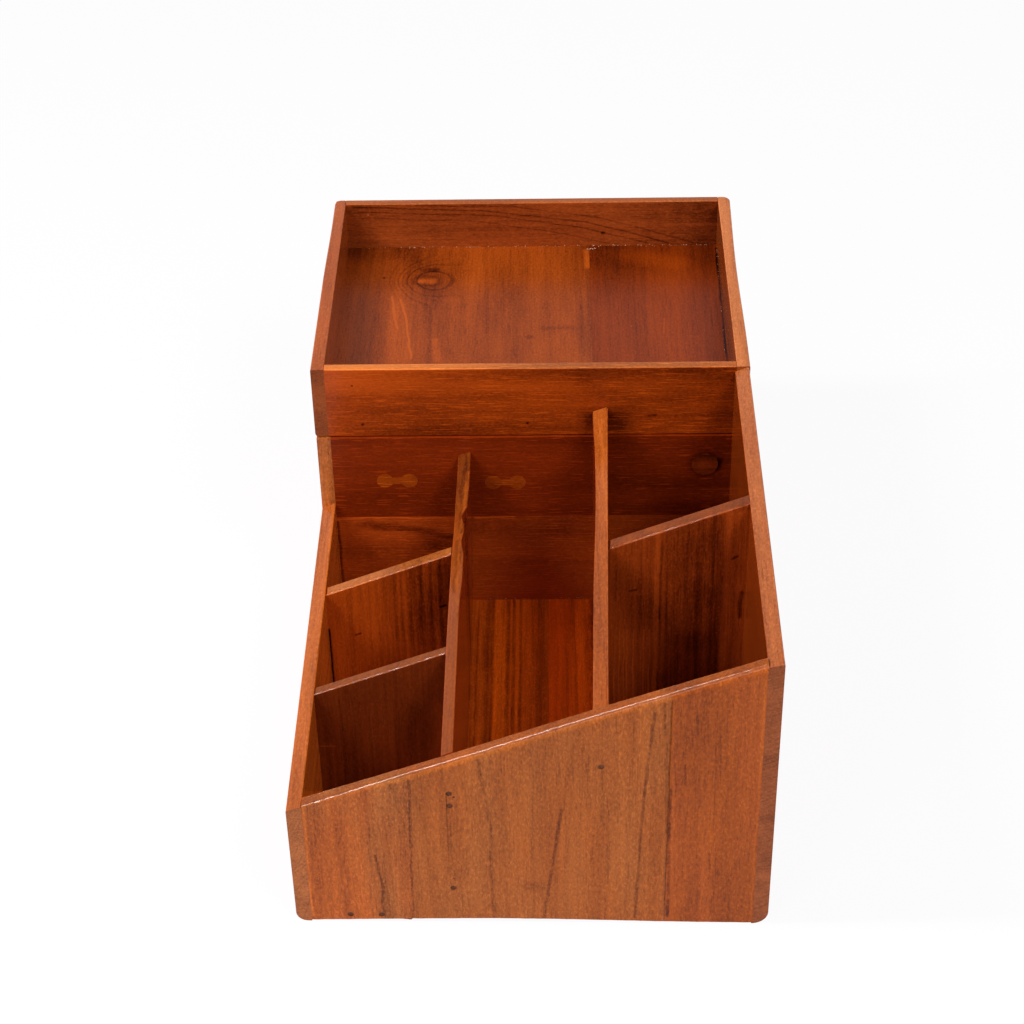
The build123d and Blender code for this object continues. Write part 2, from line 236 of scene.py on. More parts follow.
ring_end = add(
    figure,
    "ShaderNodeMapRange",
    {"Value": in_ring, "From Min": 1.0, "From Max": 0.92},
    interpolation_type="SMOOTHSTEP",
)
ring = add(figure, "ShaderNodeMath", {0: late_wood, 1: ring_end}, operation="MULTIPLY")
ring = add(figure, "ShaderNodeMath", {0: ring, 1: which}, operation="MULTIPLY")
layers = {}
for layer, stretch, per_mm, detail, rough in (
    ("fibre", 0.03, 0.7, 3.0, 0.5),
    ("mottle", 0.5, 1.0, 2.0, 0.65),
    ("band", 0.05, 0.12, 2.0, 0.55),
    ("drift", 0.3, 0.03, 3.0, 0.5),
    ("speck", 0.5, 1.3, 0.0, 0.5),
    ("pore", 0.06, 1.6, 0.0, 0.5),
    ("skin", 0.7, 0.35, 2.0, 0.5),
    ("hue", 0.2, 0.05, 2.0, 0.5),
):
    drawn_out = add(figure, "ShaderNodeMapping", {"Vector": own_place, "Scale": (1, 1, stretch)})
    inputs = {"Vector": drawn_out, "Scale": per_mm, "Detail": detail, "Roughness": rough}
    layers[layer] = add(figure, "ShaderNodeTexNoise", inputs)
darkness = add(
    figure, "ShaderNodeMath", {0: ring, 1: given["Ring Depth"], 2: 0.35}, operation="MULTIPLY_ADD"
)
for layer in ("fibre", "mottle", "band", "drift"):
    swing = add(figure, "ShaderNodeMath", {0: layers[layer], 1: 0.5}, operation="SUBTRACT")
    inputs = {0: swing, 1: given[layer.title() + " Depth"], 2: darkness}
    darkness = add(figure, "ShaderNodeMath", inputs, operation="MULTIPLY_ADD")
for layer, least, most in (("speck", 0.60, 0.70), ("pore", 0.64, 0.73)):
    inputs = {"Value": layers[layer], "From Min": least, "From Max": most}
    layers[layer] = add(figure, "ShaderNodeMapRange", inputs)
    inputs = {0: layers[layer], 1: given[layer.title() + " Depth"], 2: darkness}
    darkness = add(figure, "ShaderNodeMath", inputs, operation="MULTIPLY_ADD")
inputs = {0: layers["pore"], 1: -0.6, 2: layers["fibre"]}
relief = add(figure, "ShaderNodeMath", inputs, operation="MULTIPLY_ADD")
relief = add(figure, "ShaderNodeMath", {0: layers["mottle"], 1: 0.8, 2: relief}, operation="MULTIPLY_ADD")
inputs = {0: layers["fibre"], 1: 0.35, 2: layers["skin"]}
skin = add(figure, "ShaderNodeMath", inputs, operation="MULTIPLY_ADD")
add(
    figure,
    "NodeGroupOutput",
    {"Darkness": darkness, "Relief": relief, "Varnish Skin": skin, "Hue": layers["hue"]},
)

# One stretch of a drawn feature of a board, such as a dark growth line, a speck, a scratch or a paler
# streak: one near the line from Start to End, nothing beyond its width, and uneven along it.
stroke = bpy.data.node_groups.new("teak_stroke", "ShaderNodeTree")
for name, kind, usual in (
    ("Amount", "NodeSocketFloat", 0.0),
    ("Place", "NodeSocketVector", (0, 0, 0)),
    ("Start", "NodeSocketVector", (0, 0, 0)),
    ("End", "NodeSocketVector", (0, 0, 0)),
    ("Width", "NodeSocketFloat", 1.0),
    ("Evenness", "NodeSocketFloat", 1.0),
):
    stroke.interface.new_socket(name, in_out="INPUT", socket_type=kind).default_value = usual
stroke.interface.new_socket("Amount", in_out="OUTPUT", socket_type="NodeSocketFloat")
given = add(stroke, "NodeGroupInput").outputs
along = add(stroke, "ShaderNodeVectorMath", {0: given["End"], 1: given["Start"]}, operation="SUBTRACT")
away = add(stroke, "ShaderNodeVectorMath", {0: given["Place"], 1: given["Start"]}, operation="SUBTRACT")
reach = add(stroke, "ShaderNodeVectorMath", {0: along, 1: along}, operation="DOT_PRODUCT").outputs["Value"]
reached = add(stroke, "ShaderNodeVectorMath", {0: away, 1: along}, operation="DOT_PRODUCT").outputs["Value"]
part = add(stroke, "ShaderNodeMath", {0: reached, 1: reach}, operation="DIVIDE", use_clamp=True)
nearest = add(
    stroke, "ShaderNodeVectorMath", {0: along, 1: part, 2: given["Start"]}, operation="MULTIPLY_ADD"
)
offset = add(
    stroke, "ShaderNodeVectorMath", {0: given["Place"], 1: nearest}, operation="DISTANCE"
).outputs["Value"]
core = add(stroke, "ShaderNodeMath", {0: given["Width"], 1: 0.15}, operation="MULTIPLY")
near = add(
    stroke,
    "ShaderNodeMapRange",
    {"Value": offset, "From Min": given["Width"], "From Max": core},
    interpolation_type="SMOOTHSTEP",
)
amount = add(stroke, "ShaderNodeMath", {0: near, 1: given["Evenness"]}, operation="MULTIPLY")
amount = add(stroke, "ShaderNodeMath", {0: amount, 1: given["Amount"]}, operation="MAXIMUM")
add(stroke, "NodeGroupOutput", {"Amount": amount})


def shade(hex_colour, share):
    """A paler or darker linear colour. Varnished wood reddens as it darkens."""
    red, green, blue, alpha = linear(hex_colour)
    return [red * share, green * share**1.2, blue * share**1.35, alpha]


GRAIN_TURN = {"x": (0, radians(-90), 0), "y": (radians(90), 0, 0), "z": (0, 0, 0)}
AXES = {"x": Vector((1, 0, 0)), "y": Vector((0, 1, 0)), "z": Vector((0, 0, 1))}


def on_plane(face, point):
    """A point that is given along the two axes of a board's face."""
    return sum((AXES[letter] * value for letter, value in zip(face, point)), Vector())


def teak(
    name,
    grain,
    usual,
    seed,
    face="xz",
    strokes=(),
    waver=4.0,
    hue=None,
    end=None,
    top=None,
    knot=None,
    gloss_spread=0.13,
    varnish=1.0,
    **depths,
):
    """Varnished teak for one board, whose grain runs along an axis.

    The board's usual tone is given, and where they differ a second tone that it drifts to and the
    tones of its sawn ends and of its top. Each stroke is a list of points on the board's face in
    millimetres, how far it reaches to each side and how much it darkens. A knot is its centre, its
    reach and the number of rings round it.
    """
    material, tree = new_material("varnished_teak_" + name)
    coords = add(tree, "ShaderNodeTexCoord").outputs
    place = add(tree, "ShaderNodeVectorMath", {0: coords["Object"], "Scale": 1 / MM}, operation="SCALE")
    board = add(tree, "ShaderNodeMapping", {"Vector": place, "Rotation": GRAIN_TURN[grain]})
    shown = sum((AXES[letter] for letter in face), Vector())

    wobble = add(tree, "ShaderNodeTexNoise", {"Vector": place, "Scale": 0.07, "Detail": 2.0})
    inputs = {"Value": wobble, "From Min": 0.35, "From Max": 0.6, "To Min": 0.6}
    evenness = add(tree, "ShaderNodeMapRange", inputs)
    inputs = {0: wobble.outputs["Color"], 1: (0.5, 0.5, 0.5)}
    wobble = add(tree, "ShaderNodeVectorMath", inputs, operation="SUBTRACT")
    inputs = {0: wobble, 1: (waver, waver, waver), 2: place}
    drawn = add(tree, "ShaderNodeVectorMath", inputs, operation="MULTIPLY_ADD")
    drawn = add(tree, "ShaderNodeVectorMath", {0: drawn, 1: shown}, operation="MULTIPLY")
    steady = add(tree, "ShaderNodeVectorMath", {0: place, 1: shown}, operation="MULTIPLY")

    inputs = {"Place": board, "Seed": seed}
    inputs.update({depth.replace("_", " ").title(): value for depth, value in depths.items()})
    if knot:
        centre, reach, rings = knot
        away = add(tree, "ShaderNodeVectorMath", {0: drawn, 1: on_plane(face, centre)}, operation="DISTANCE")
        swell = {"Value": away.outputs["Value"], "From Min": reach, "From Max": 0.0, "To Max": rings}
        swell = add(tree, "ShaderNodeMapRange", swell, interpolation_type="SMOOTHSTEP")
        inputs["Ring Swell"] = swell
        inputs["Ring Depth"] = add(
            tree, "ShaderNodeMath", {0: swell, 1: 0.05, 2: inputs["Ring Depth"]}, operation="MULTIPLY_ADD"
        )
    figured = add(tree, "ShaderNodeGroup", inputs, node_tree=figure, name="figure").outputs
    drawn_darkness = 0.0
    for points, width, strength in strokes:
        amount = 0.0
        spots = [on_plane(face, point) for point in points]
        for start, finish in zip(spots, spots[1:] or spots):
            inputs = {"Amount": amount, "Place": drawn if len(spots) > 1 else steady}
            inputs.update({"Start": start, "End": finish, "Width": width})
            if len(spots) > 1:
                inputs["Evenness"] = evenness
            amount = add(tree, "ShaderNodeGroup", inputs, node_tree=stroke)
        inputs = {0: amount, 1: strength, 2: drawn_darkness}
        drawn_darkness = add(tree, "ShaderNodeMath", inputs, operation="MULTIPLY_ADD")

    # What is drawn on an upright face stops at the board's top.
    upward = add(tree, "ShaderNodeSeparateXYZ", {0: coords["Normal"]}).outputs["Z"]
    on_top = add(tree, "ShaderNodeMapRange", {"Value": upward, "From Min": 0.5, "From Max": 0.9})
    on_face = add(tree, "ShaderNodeMath", {0: 1.0, 1: on_top}, operation="SUBTRACT") if "z" in face else 1.0
    inputs = {0: drawn_darkness, 1: on_face, 2: figured["Darkness"]}
    darkness = add(tree, "ShaderNodeMath", inputs, operation="MULTIPLY_ADD")
    palette = add(tree, "ShaderNodeValToRGB", {"Fac": darkness})
    stops = palette.color_ramp.elements
    for position, share in ((0.35, 1.0), (0.68, 0.42)):
        stops.new(position).color = shade(usual, share)
    stops[0].color = shade(usual, 1.6)
    stops[-1].color = shade(usual, 0.06)

    # Old boards drift in tone, sawn ends drink more varnish, and tops take a tone of their own.
    # The rounded arrises are painted paler: partly wear, partly a painted highlight where they catch light.
    drift = add(tree, "ShaderNodeMapRange", {"Value": figured["Hue"], "From Min": 0.40, "From Max": 0.62})
    across = add(
        tree, "ShaderNodeVectorMath", {0: coords["Normal"], 1: AXES[grain]}, operation="DOT_PRODUCT"
    ).outputs["Value"]
    across = add(tree, "ShaderNodeMath", {0: across}, operation="ABSOLUTE")
    at_end = add(tree, "ShaderNodeMapRange", {"Value": across, "From Min": 0.75, "From Max": 0.95})
    # The arris mask tints the rounded arrises paler: partly wear, partly a painted highlight.
    arris = add(tree, "ShaderNodeAttribute", attribute_name="arris").outputs["Fac"]
    colour = palette
    for share, tone in ((drift, hue), (at_end, end), (on_top, top), (arris, shade(usual, 1.3))):
        if tone:
            tone = linear(tone) if isinstance(tone, str) else tone
            tint = [there / here for there, here in zip(tone, linear(usual))]
            inputs = {0: share, 6: colour, 7: tint}
            colour = add(tree, "ShaderNodeMix", inputs, data_type="RGBA", blend_type="MULTIPLY")

    # The wood under the varnish is a little rough; the varnish levels it but keeps a brushed skin.
    inputs = {"Strength": 0.6, "Distance": 0.15 * MM, "Height": figured["Relief"]}
    wood_skin = add(tree, "ShaderNodeBump", inputs)
    inputs = {"Strength": 0.6, "Distance": 0.10 * MM, "Height": figured["Varnish Skin"]}
    varnish_skin = add(tree, "ShaderNodeBump", inputs)
    inputs = {
        "Base Color": colour,
        "Roughness": 0.5,
        "IOR": 1.45,
        "Specular IOR Level": 0.05,
        "Coat Weight": varnish,
        "Coat Roughness": gloss_spread,
        "Coat IOR": 1.2,
        "Normal": wood_skin,
        "Coat Normal": varnish_skin,
    }
    add(tree, "ShaderNodeOutputMaterial", {"Surface": add(tree, "ShaderNodeBsdfPrincipled", inputs)})
    return material


def finish_node(node, material):
    """Gives a CAD node its finish."""
    frame["nodes"][node].material_slots[0].material = material


# Each strip's tone, from the low side to the high one, and the lines and bands along it.
strips = (
    ("#9c4006", ()),
    ("#b04a08", ()),
    ("#c5520c", [
        # The first two lines darken the floor along the left divider's foot: painted shade.
        ([(-30, -200), (-28, 22)], 6.0, 0.2),
        ([(-32.6, -200), (-32.6, 22)], 1.6, 0.2),
        ([(-27.3, -200), (-27.0, 22)], 0.7, 0.2),
        ([(-22.2, -200), (-22.2, 22)], 3.2, 0.28),
    ]),
    ("#e3600a", [
        ([(-20.4, -200), (-20.0, 22)], 2.0, 0.35),
        ([(-12.2, -200), (-12.2, 22)], 1.6, 0.3),
        ([(-9.3, -200), (-9.3, 22)], 1.4, 0.3),
        ([(-6.2, -200), (-6.2, 22)], 1.0, 0.2),
        ([(3.6, -200), (3.6, 22)], 5.0, 0.22),
    ]),
    # Strip five's dark band at x 31, by the right divider's foot, is painted shade.
    ("#d04b04", [([(11, -200), (11, 22)], 7.0, -0.2), ([(31, -200), (31, 22)], 10.0, 0.35)]),
    ("#a84206", ()),
    ("#a03c06", ()),
)
for index, (tone, strokes) in enumerate(strips):
    node = f"base_strip_{index + 1}"
    finish_node(node, teak(
        node, "y", tone, index + 1, face="xy", strokes=strokes, waver=1.0, pith=(-150, -10, 0),
        ring_gap=4.5, ring_depth=0.16, fibre_depth=0.4, mottle_depth=0.3, drift_depth=0.2, band_depth=0.25,
    ))

# The two long sides of the front half, each of two boards, one above the other, glued edge to edge.
# Their end grain shows at the front. Planed and sanded by hand, so their arrises waver.

# A worked board is cut into short slices, so that its arrises can bend. Its flats are told from its
# rounded arrises by the area that a face has in one slice.
same_place = 1e-6
same_plane = radians(0.05)
sharp_from = radians(35)
slice_length = 1.0 * MM
narrow_strip = 0.25 * MM
flat_face = 2.0 * MM
arris_radius = 0.7 * MM
at_arris = 1.2 * arris_radius
by_arris = 1.6 * arris_radius
middle_of_arris = radians(45)
rubbed_width = 0.8 * MM
rubbed_side = Vector((-0.349, -0.423, 0.836))
arris_waver = 0.04 * MM
arris_wave = 3.5 * MM


def beyond(verts, flat):
    """How far each point lies behind one of the board's flats."""
    reach = max(vertex.co.dot(flat) for vertex in verts)
    return lambda vertex: reach - vertex.co.dot(flat)


def roll_over(vertex, one, other, one_depth, other_depth, growth):
    """Moves a point of the rounded arris between two flats, so that its radius grows."""
    lean = one.dot(other)
    share = (growth - 1) / (1 - lean**2)
    vertex.co -= share * (one * (one_depth - lean * other_depth) + other * (other_depth - lean * one_depth))


def hand_worked(node, length_axis, material, waver=arris_waver, reshape=None):
    """A board with the CAD node's shape, whose rounded arrises waver a little, and where they face up
    and forwards are rubbed flatter. A board can be reshaped by a function, which gives the radius of
    each point whose arris it changes."""
    source = frame["nodes"][node]
    low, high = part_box(node)
    bm = bmesh.new()
    bm.from_mesh(source.data)
    bmesh.ops.remove_doubles(bm, verts=bm.verts, dist=same_place)
    bmesh.ops.dissolve_limit(bm, angle_limit=same_plane, verts=bm.verts, edges=bm.edges)
    axis = "xyz".index(length_axis)
    count = int((high[axis] - low[axis]) / slice_length)
    for step in range(1, count):
        cut = low.copy()
        cut[axis] = low[axis] + (high[axis] - low[axis]) * step / count
        pieces = bm.verts[:] + bm.edges[:] + bm.faces[:]
        bmesh.ops.bisect_plane(bm, geom=pieces, plane_co=cut, plane_no=AXES[length_axis], dist=1e-7)
    bm.normal_update()
    flats = {
        tuple(round(part, 3) for part in face.normal)
        for face in bm.faces
        if face.calc_area() > flat_face * slice_length
    }
    flats = [Vector(flat) for flat in flats]
    # The arris mask also sets where teak() paints the arrises paler, for wear and a painted highlight.
    arris = bm.verts.layers.float.new("arris")
    for vertex in bm.verts:
        if all(face.calc_area() < narrow_strip * slice_length for face in vertex.link_faces):
            turned = acos(min(1.0, max(vertex.normal.dot(flat) for flat in flats)))
            vertex[arris] = min(1.0, turned / middle_of_arris)
    radii = reshape(bm.verts, flats) if reshape else {}
    bm.normal_update()
    for vertex in bm.verts:
        if vertex[arris]:
            radius = radii.get(vertex, arris_radius)
            half_angle = asin(rubbed_width / 2 / radius)
            turned = vertex.normal.angle(rubbed_side)
            rubbed = radius * (1 - cos(half_angle) / cos(turned)) if turned < half_angle else 0.0
            bump = noise.noise(vertex.co / arris_wave) + 0.5 * noise.noise(vertex.co / arris_wave * 3)
            vertex.co += vertex.normal * (bump * waver * vertex[arris] - rubbed)
            vertex[arris] *= arris_radius / radius
    mesh = bpy.data.meshes.new(node + "_worked")
    bm.to_mesh(mesh)
    bm.free()
    mesh.shade_smooth()
    mesh.set_sharp_from_angle(angle=sharp_from)
    mesh.materials.append(material)
    piece = bpy.data.objects.new(node + "_worked", mesh)
    bpy.context.scene.collection.objects.link(piece)
    weigh = piece.modifiers.new("face_normals", "WEIGHTED_NORMAL")
    weigh.keep_sharp = True
    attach(piece, source["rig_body"])
    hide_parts(node)


def rubbed_foot(outward, growth):
    """Makes a side's lower outer arris rounder by a factor, as it is worn by dragging over a desk."""
    def reshape(verts, flats):
        foot = min(flats, key=lambda flat: flat.z)
        above, inside = beyond(verts, foot), beyond(verts, outward)
        depths = {vertex: (above(vertex), inside(vertex)) for vertex in verts}
        for vertex, (from_foot, from_side) in depths.items():
            if max(from_foot, from_side) < at_foot:
                roll_over(vertex, foot, outward, from_foot, from_side, growth)
        return {}
    return reshape


foot_radius = 3.2 * MM
at_foot = 1.05 * foot_radius
feet = {"low": rubbed_foot(-AXES["x"], 1.6), "high": rubbed_foot(AXES["x"], 2.2)}
for seed, (node, pith) in enumerate(
    (("low_side_lower", (-20, 30, 0)), ("low_side_upper", (-30, -10, 0))), 11
):
    hand_worked(node, "y", teak(
        node, "y", "#d0681f", seed, face="xy", pith=pith, ring_gap=1.7, ring_depth=0.14,
        fibre_depth=0.2, mottle_depth=0.4, drift_depth=0.3, end="#9e582d", top="#a5521f",
    ), reshape=feet["low"] if node.endswith("lower") else None)
for seed, node in enumerate(("high_side_lower", "high_side_upper"), 13):
    hand_worked(node, "y", teak(
        node, "y", "#90380a", seed, face="yz", pith=(40, -230, 0), ring_gap=1.9, ring_depth=0.14,
        fibre_depth=0.2, mottle_depth=0.5, end="#884521", top="#a1552a",
        strokes=[([(-200, 96), (0, 118)], 3.0, 0.13), ([(-200, 62), (0, 74)], 2.5, 0.13)],
    ), reshape=feet["high"] if node.endswith("lower") else None)

# The front panel: three upright boards glued edge to edge and set between the sides. Growth lines,
# small shakes and specks run down them, and the varnish stands in beads along the top arris.

# Each board's tone, the tone it drifts to, and the lines and bands down it.
front_boards = {
    "front_board_1": ("#a44f19", "#a45a26", [
        ([(-67, 84), (-66.5, 50), (-63.4, 4)], 5.5, 0.16),
        ([(-65.5, 40), (-62.8, 20.5), (-63.6, 12.8), (-62.8, 3)], 1.0, 0.2),
        ([(-61, 68), (-60, 3)], 3.0, 0.08),
        ([(-57.2, 81.6), (-57.2, 79)], 1.0, 0.3),
        ([(-80, 60), (-79, 3)], 3.0, 0.1),
        ([(-49.4, 84), (-50.3, 40), (-50.9, 3)], 0.9, 0.24),
        ([(-94.3, 78), (-94.3, 3)], 0.9, -0.25),
    ]),
    "front_board_2": ("#994d18", "#97501e", [
        ([(-49.2, 84), (-49.7, 45)], 0.8, 0.28),
        ([(-20.7, 96), (-18.8, 78.3), (-16.2, 56.9), (-17.3, 32.4), (-16.0, 3)], 1.1, 0.2),
        ([(-17.3, 10), (-11.5, 3)], 3.0, 0.14),
        ([(18.3, 103.5), (13.3, 67.7)], 1.6, 0.1),
        ([(13.3, 67.7), (10.8, 47), (8.6, 30), (5.2, 2.4)], 1.2, 0.28),
        ([(50.9, 122), (48.2, 89.5), (46.6, 61.2), (45.6, 35.9), (44.7, 3)], 1.1, 0.25),
        ([(49.0, 90), (45.0, 3)], 6.0, 0.07),
        ([(32.5, 40), (32.0, 3)], 1.2, 0.1),
        ([(26, 53), (26, 34)], 1.0, 0.1),
        ([(54.5, 127), (55.5, 108), (56.3, 74.8), (56.8, 55)], 1.0, 0.2),
        ([(-40, 80), (-38, 20)], 5.0, -0.06),
        ([(-2.5, 22), (4.0, 22)], 4.5, 0.16),
        ([(-2.5, 22), (-4, 6)], 1.6, 0.12),
        ([(-31.2, 74.8)], 0.9, 0.5),
        ([(-32.6, 26.5)], 0.7, 0.3),
        ([(19.2, 4.4)], 0.6, 0.4),
    ]),
    "front_board_3": ("#9c4814", "#98460e", [
        ([(57.4, 79), (57.9, 52)], 1.8, 0.3),
        ([(57.6, 60), (58.0, 45), (58.7, 4)], 1.3, 0.28),
        ([(61.5, 110), (61.5, 20)], 5.0, 0.06),
        ([(67.9, 120.4), (68.2, 109)], 0.9, 0.22),
        ([(63.8, 92.9), (64.1, 82.2)], 0.9, 0.25),
        ([(75.1, 42), (75.5, 31)], 0.8, 0.25),
        ([(70, 40), (70, 3)], 3.0, 0.06),
        ([(94.2, 132), (94.2, 3)], 0.8, -0.15),
    ]),
}
rolled_radius = 3.0 * MM
top_rise = 1.3 * MM
foot_bow = 1.65 * MM
bow_span = (-14, 105)


def ease(value):
    value = min(1.0, max(0.0, value))
    return value * value * (3 - 2 * value)


def hump(value, middle, reach):
    """One at the middle, easing to nothing at the reach."""
    return ease(1 - abs(value - middle) / reach)


def planed_by_eye(verts, flats):
    """Rolls the front panel's top arris over, sharper at the low side, lets its top rise a little
    proud of the slope towards the high side, and bows its lower edge up in the middle."""
    top = max(flats, key=lambda flat: flat.z)
    face = min(flats, key=lambda flat: flat.y)
    foot = min(flats, key=lambda flat: flat.z)
    below, behind, above = beyond(verts, top), beyond(verts, face), beyond(verts, foot)
    depths = {vertex: (below(vertex), behind(vertex), above(vertex)) for vertex in verts}
    radii = {}
    for vertex, (from_top, from_face, from_foot) in depths.items():
        x = vertex.co.x / MM
        if max(from_top, from_face) < at_arris:
            radii[vertex] = arris_radius + (rolled_radius - arris_radius) * ease((x + 95) / 45)
            roll_over(vertex, top, face, from_top, from_face, radii[vertex] / arris_radius)
        if from_top < at_arris:
            vertex.co.z += top_rise * ease((x + 45) / 85)
        if from_foot < at_arris:
            vertex.co.z += foot_bow * hump(x, *bow_span)
    return radii


for seed, (node, (tone, hue, strokes)) in enumerate(front_boards.items(), 21):
    hand_worked(node, "x", teak(
        node, "z", tone, seed, strokes=strokes, waver=1.6, pith=(20, 60, 0), ring_gap=16, ring_depth=0.06,
        wander=14.0, fibre_depth=0.25, mottle_depth=0.6, band_depth=0.45, drift_depth=0.35,
        speck_depth=-0.13, hue=hue, top="#8a4113",
    ), waver=0.08 * MM, reshape=planed_by_eye)

# The two long dividers, edge up, from the front panel to the wall. Their tops are planed to the
# slope by hand; the left one is chipped beside the wall.

# Each divider's tone, the tone of its top, and the lines and bands along that top.
divider_looks = {
    "divider_left": ("#8c300c", "#7b360a", [
        ([(-33.0, -20), (-33.4, -75)], 1.2, 0.2),
        ([(-29.2, 8), (-30.2, -10), (-33.0, -38)], 1.3, -0.25),
        ([(-31.5, 24), (-32.0, -22)], 14.0, 0.16),
        ([(-31.8, -50), (-32.2, -85)], 1.3, -0.2),
        ([(-30.2, 20), (-31.6, 4), (-32.4, -8)], 1.4, 0.12),
        ([(-30.6, -18), (-31.6, -34)], 1.2, 0.35),
        ([(-31.0, -44), (-31.6, -60)], 0.9, 0.25),
    ]),
    "divider_right": ("#822a0a", "#964613", [
        ([(29.6, -20), (29.6, -140)], 1.0, 0.12),
        ([(33.6, 15), (33.6, -60)], 1.2, -0.12),
    ]),
}


# The left divider's chips: their places along Y, how far they reach and how deep they are, in mm.
chips = ((-22.5, 8, 1.7), (-41, 9, 0.9), (-34, 20, 0.3))


def pared(verts, flats):
    """The dividers' top arrises wander: the left one's rear end is bent up and to the right and
    chipped on that side, and the right one is pared thinner on the left."""
    top = max(flats, key=lambda flat: flat.z)
    right = max(flats, key=lambda flat: flat.x)
    below, from_right = beyond(verts, top), beyond(verts, right)
    for vertex in [vertex for vertex in verts if below(vertex) < by_arris]:
        y = vertex.co.y / MM
        on_right = from_right(vertex) < 2 * arris_radius
        if vertex.co.x > 0:
            shift = 0.0 if on_right else 0.85 * hump(y, -42, 70) - 0.6 * ease((y + 5) / 25)
        elif on_right:
            chipped = sum(depth * hump(y, middle, reach) for middle, reach, depth in chips)
            shift = 1.5 * ease((y + 40) / 50) - 0.85 * ease((-60 - y) / 30) - chipped
        else:
            shift = 1.4 * ease((y + 40) / 50) + 0.35 * hump(y, -50, 60) + 0.5 * hump(y, -30, 26)
        rise = 2.2 * ease((y + 20) / 38) if vertex.co.x < 0 else 0.0
        vertex.co += Vector((shift, 0, rise)) * MM
    return {}


for seed, (node, (tone, top, strokes)) in enumerate(divider_looks.items(), 31):
    hand_worked(node, "y", teak(
        node, "y", tone, seed, face="xy", strokes=strokes, pith=(-40, -200, 0), ring_gap=5.0,
        ring_depth=0.1, fibre_depth=0.3, mottle_depth=0.45, top=top,
    ), reshape=pared)

# The three cross partitions, thin boards of teak with upright grain: two left of the left divider, one
# on the right. They are glued between the dividers and the long sides.

# Each partition's tone, the tone of its top, and the lines and bands down its front.
partitions = {
    "partition_left_front": ("#6c290a", "#78380f", [
        ([(-94, 37.6), (-87.6, 37.5)], 0.7, -0.5),
        ([(-50, 12), (-50, 60)], 8.0, 0.12),
        # The paler band at the right end is painted light: a lit strip beside the left divider.
        ([(-40, 12), (-40, 60)], 7.0, -0.22),
    ]),
    "partition_left_back": ("#9c3c0a", "#9a5120", [
        *[([(x, 12), (x + 0.5, 92)], 1.4, 0.18) for x in (-63, -60.2, -56, -51.4, -46.8, -42.2)],
        ([(-88, 12), (-88, 90)], 22.0, -0.1),
        # The wide dark band at the right end is the left divider's painted shadow.
        ([(-40, 12), (-40, 100)], 22.0, 0.3),
        ([(-82.5, 44.8), (-80, 45.6)], 0.9, 0.6),
        ([(-42, 61.5), (-39.5, 62.3)], 0.9, 0.5),
        # The dark line at the left edge is painted shade in the corner against the low side.
        ([(-94.7, 48), (-94.6, 14)], 1.2, 0.9),
    ]),
    "partition_right": ("#92390e", "#783407", [
        *[([(x, 75), (x + 0.5, 14)], 0.5, -0.25) for x in (37.4, 39.5, 41.6, 43, 46, 50.5, 53)],
        ([(44, 100), (50, 84)], 17.0, 0.2),
        ([(55.8, 130), (56.0, 12)], 1.6, -0.2),
        ([(57.6, 12), (57.6, 125)], 0.8, 0.2),
        ([(67, 10), (67, 130)], 15.0, 0.25),
        ([(74.2, 12), (74.2, 112)], 2.2, 0.2),
        ([(80.0, 12), (80.5, 135)], 9.0, 0.27),
        ([(86.7, 12), (86.7, 140)], 3.0, -0.25),
        # The paler band by the high side is painted light, laid over the shade in that corner.
        ([(93.0, 12), (93.0, 140)], 4.0, -0.35),
        ([(44, 97), (47, 98)], 0.9, 0.5),
        ([(88.5, 115), (91, 116.5)], 0.9, 0.5),
        ([(93.4, 96), (93.0, 90), (93.2, 82)], 1.6, 0.5),
    ]),
}
for seed, (node, (tone, top, strokes)) in enumerate(partitions.items(), 41):
    hand_worked(node, "x", teak(
        node, "z", tone, seed, strokes=strokes, waver=2.0, pith=(-200, -60, 0), ring_gap=4.0,
        ring_depth=0.12, fibre_depth=0.4, mottle_depth=0.4, drift_depth=0.6, top=top,
    ))

# The wall between the halves: two boards with level grain. Two dog-bone keys and a round plug, cut
# from other pieces of teak, are let into the upper one as repairs.

# Each board's tone, how much its open pores darken it (they are paler than the wood, so less than
# nothing), and the lines and bands along its front.
wall_boards = {
    "wall_board_lower": ("#a03d0e", -0.22, [
        ([(-84, 57.8), (-62, 56.0), (-38, 50.5)], 3.5, 0.35),
        ([(-50, 49), (-38, 45)], 9.0, 0.25),
        ([(-94, 44), (-40, 38)], 12.0, 0.12),
        ([(-94, 61.9), (-38, 61.9)], 0.8, -0.3),
        # The dark line at the left end is painted shade in the corner against the low side.
        ([(-94.4, 60), (-94.4, 14)], 1.3, 0.45),
        ([(-27, 61.9), (-8, 61.9)], 0.8, -0.4),
        ([(-30, 56), (28, 56)], 13.0, 0.16),
        ([(-28, 15), (28, 15)], 15.0, -0.2),
    ]),
    "wall_board_upper": ("#742304", -0.42, [
        # The wide darkening at the right end is painted shade cast by the high side.
        ([(96, 105), (96, 62)], 30.0, 0.08),
        ([(82.2, 92.8)], 9.5, 0.6),
        ([(89.5, 95), (88.5, 90)], 3.0, 0.5),
        # The band right of the right divider is its painted shadow.
        ([(37, 112), (37, 62)], 14.0, 0.1),
        # The band along the top, under the lid's lower edge, is painted shade.
        ([(-94, 108), (28, 108)], 5.0, 0.12),
    ]),
}
for seed, (node, (tone, pore_depth, strokes)) in enumerate(wall_boards.items(), 51):
    finish_node(node, teak(
        node, "x", tone, seed, pith=(160, 24, 0), ring_gap=3.4, ring_depth=0.05, fibre_depth=0.12,
        mottle_depth=0.35, pore_depth=pore_depth, band_depth=0.3, drift_depth=0.5, strokes=strokes,
    ))
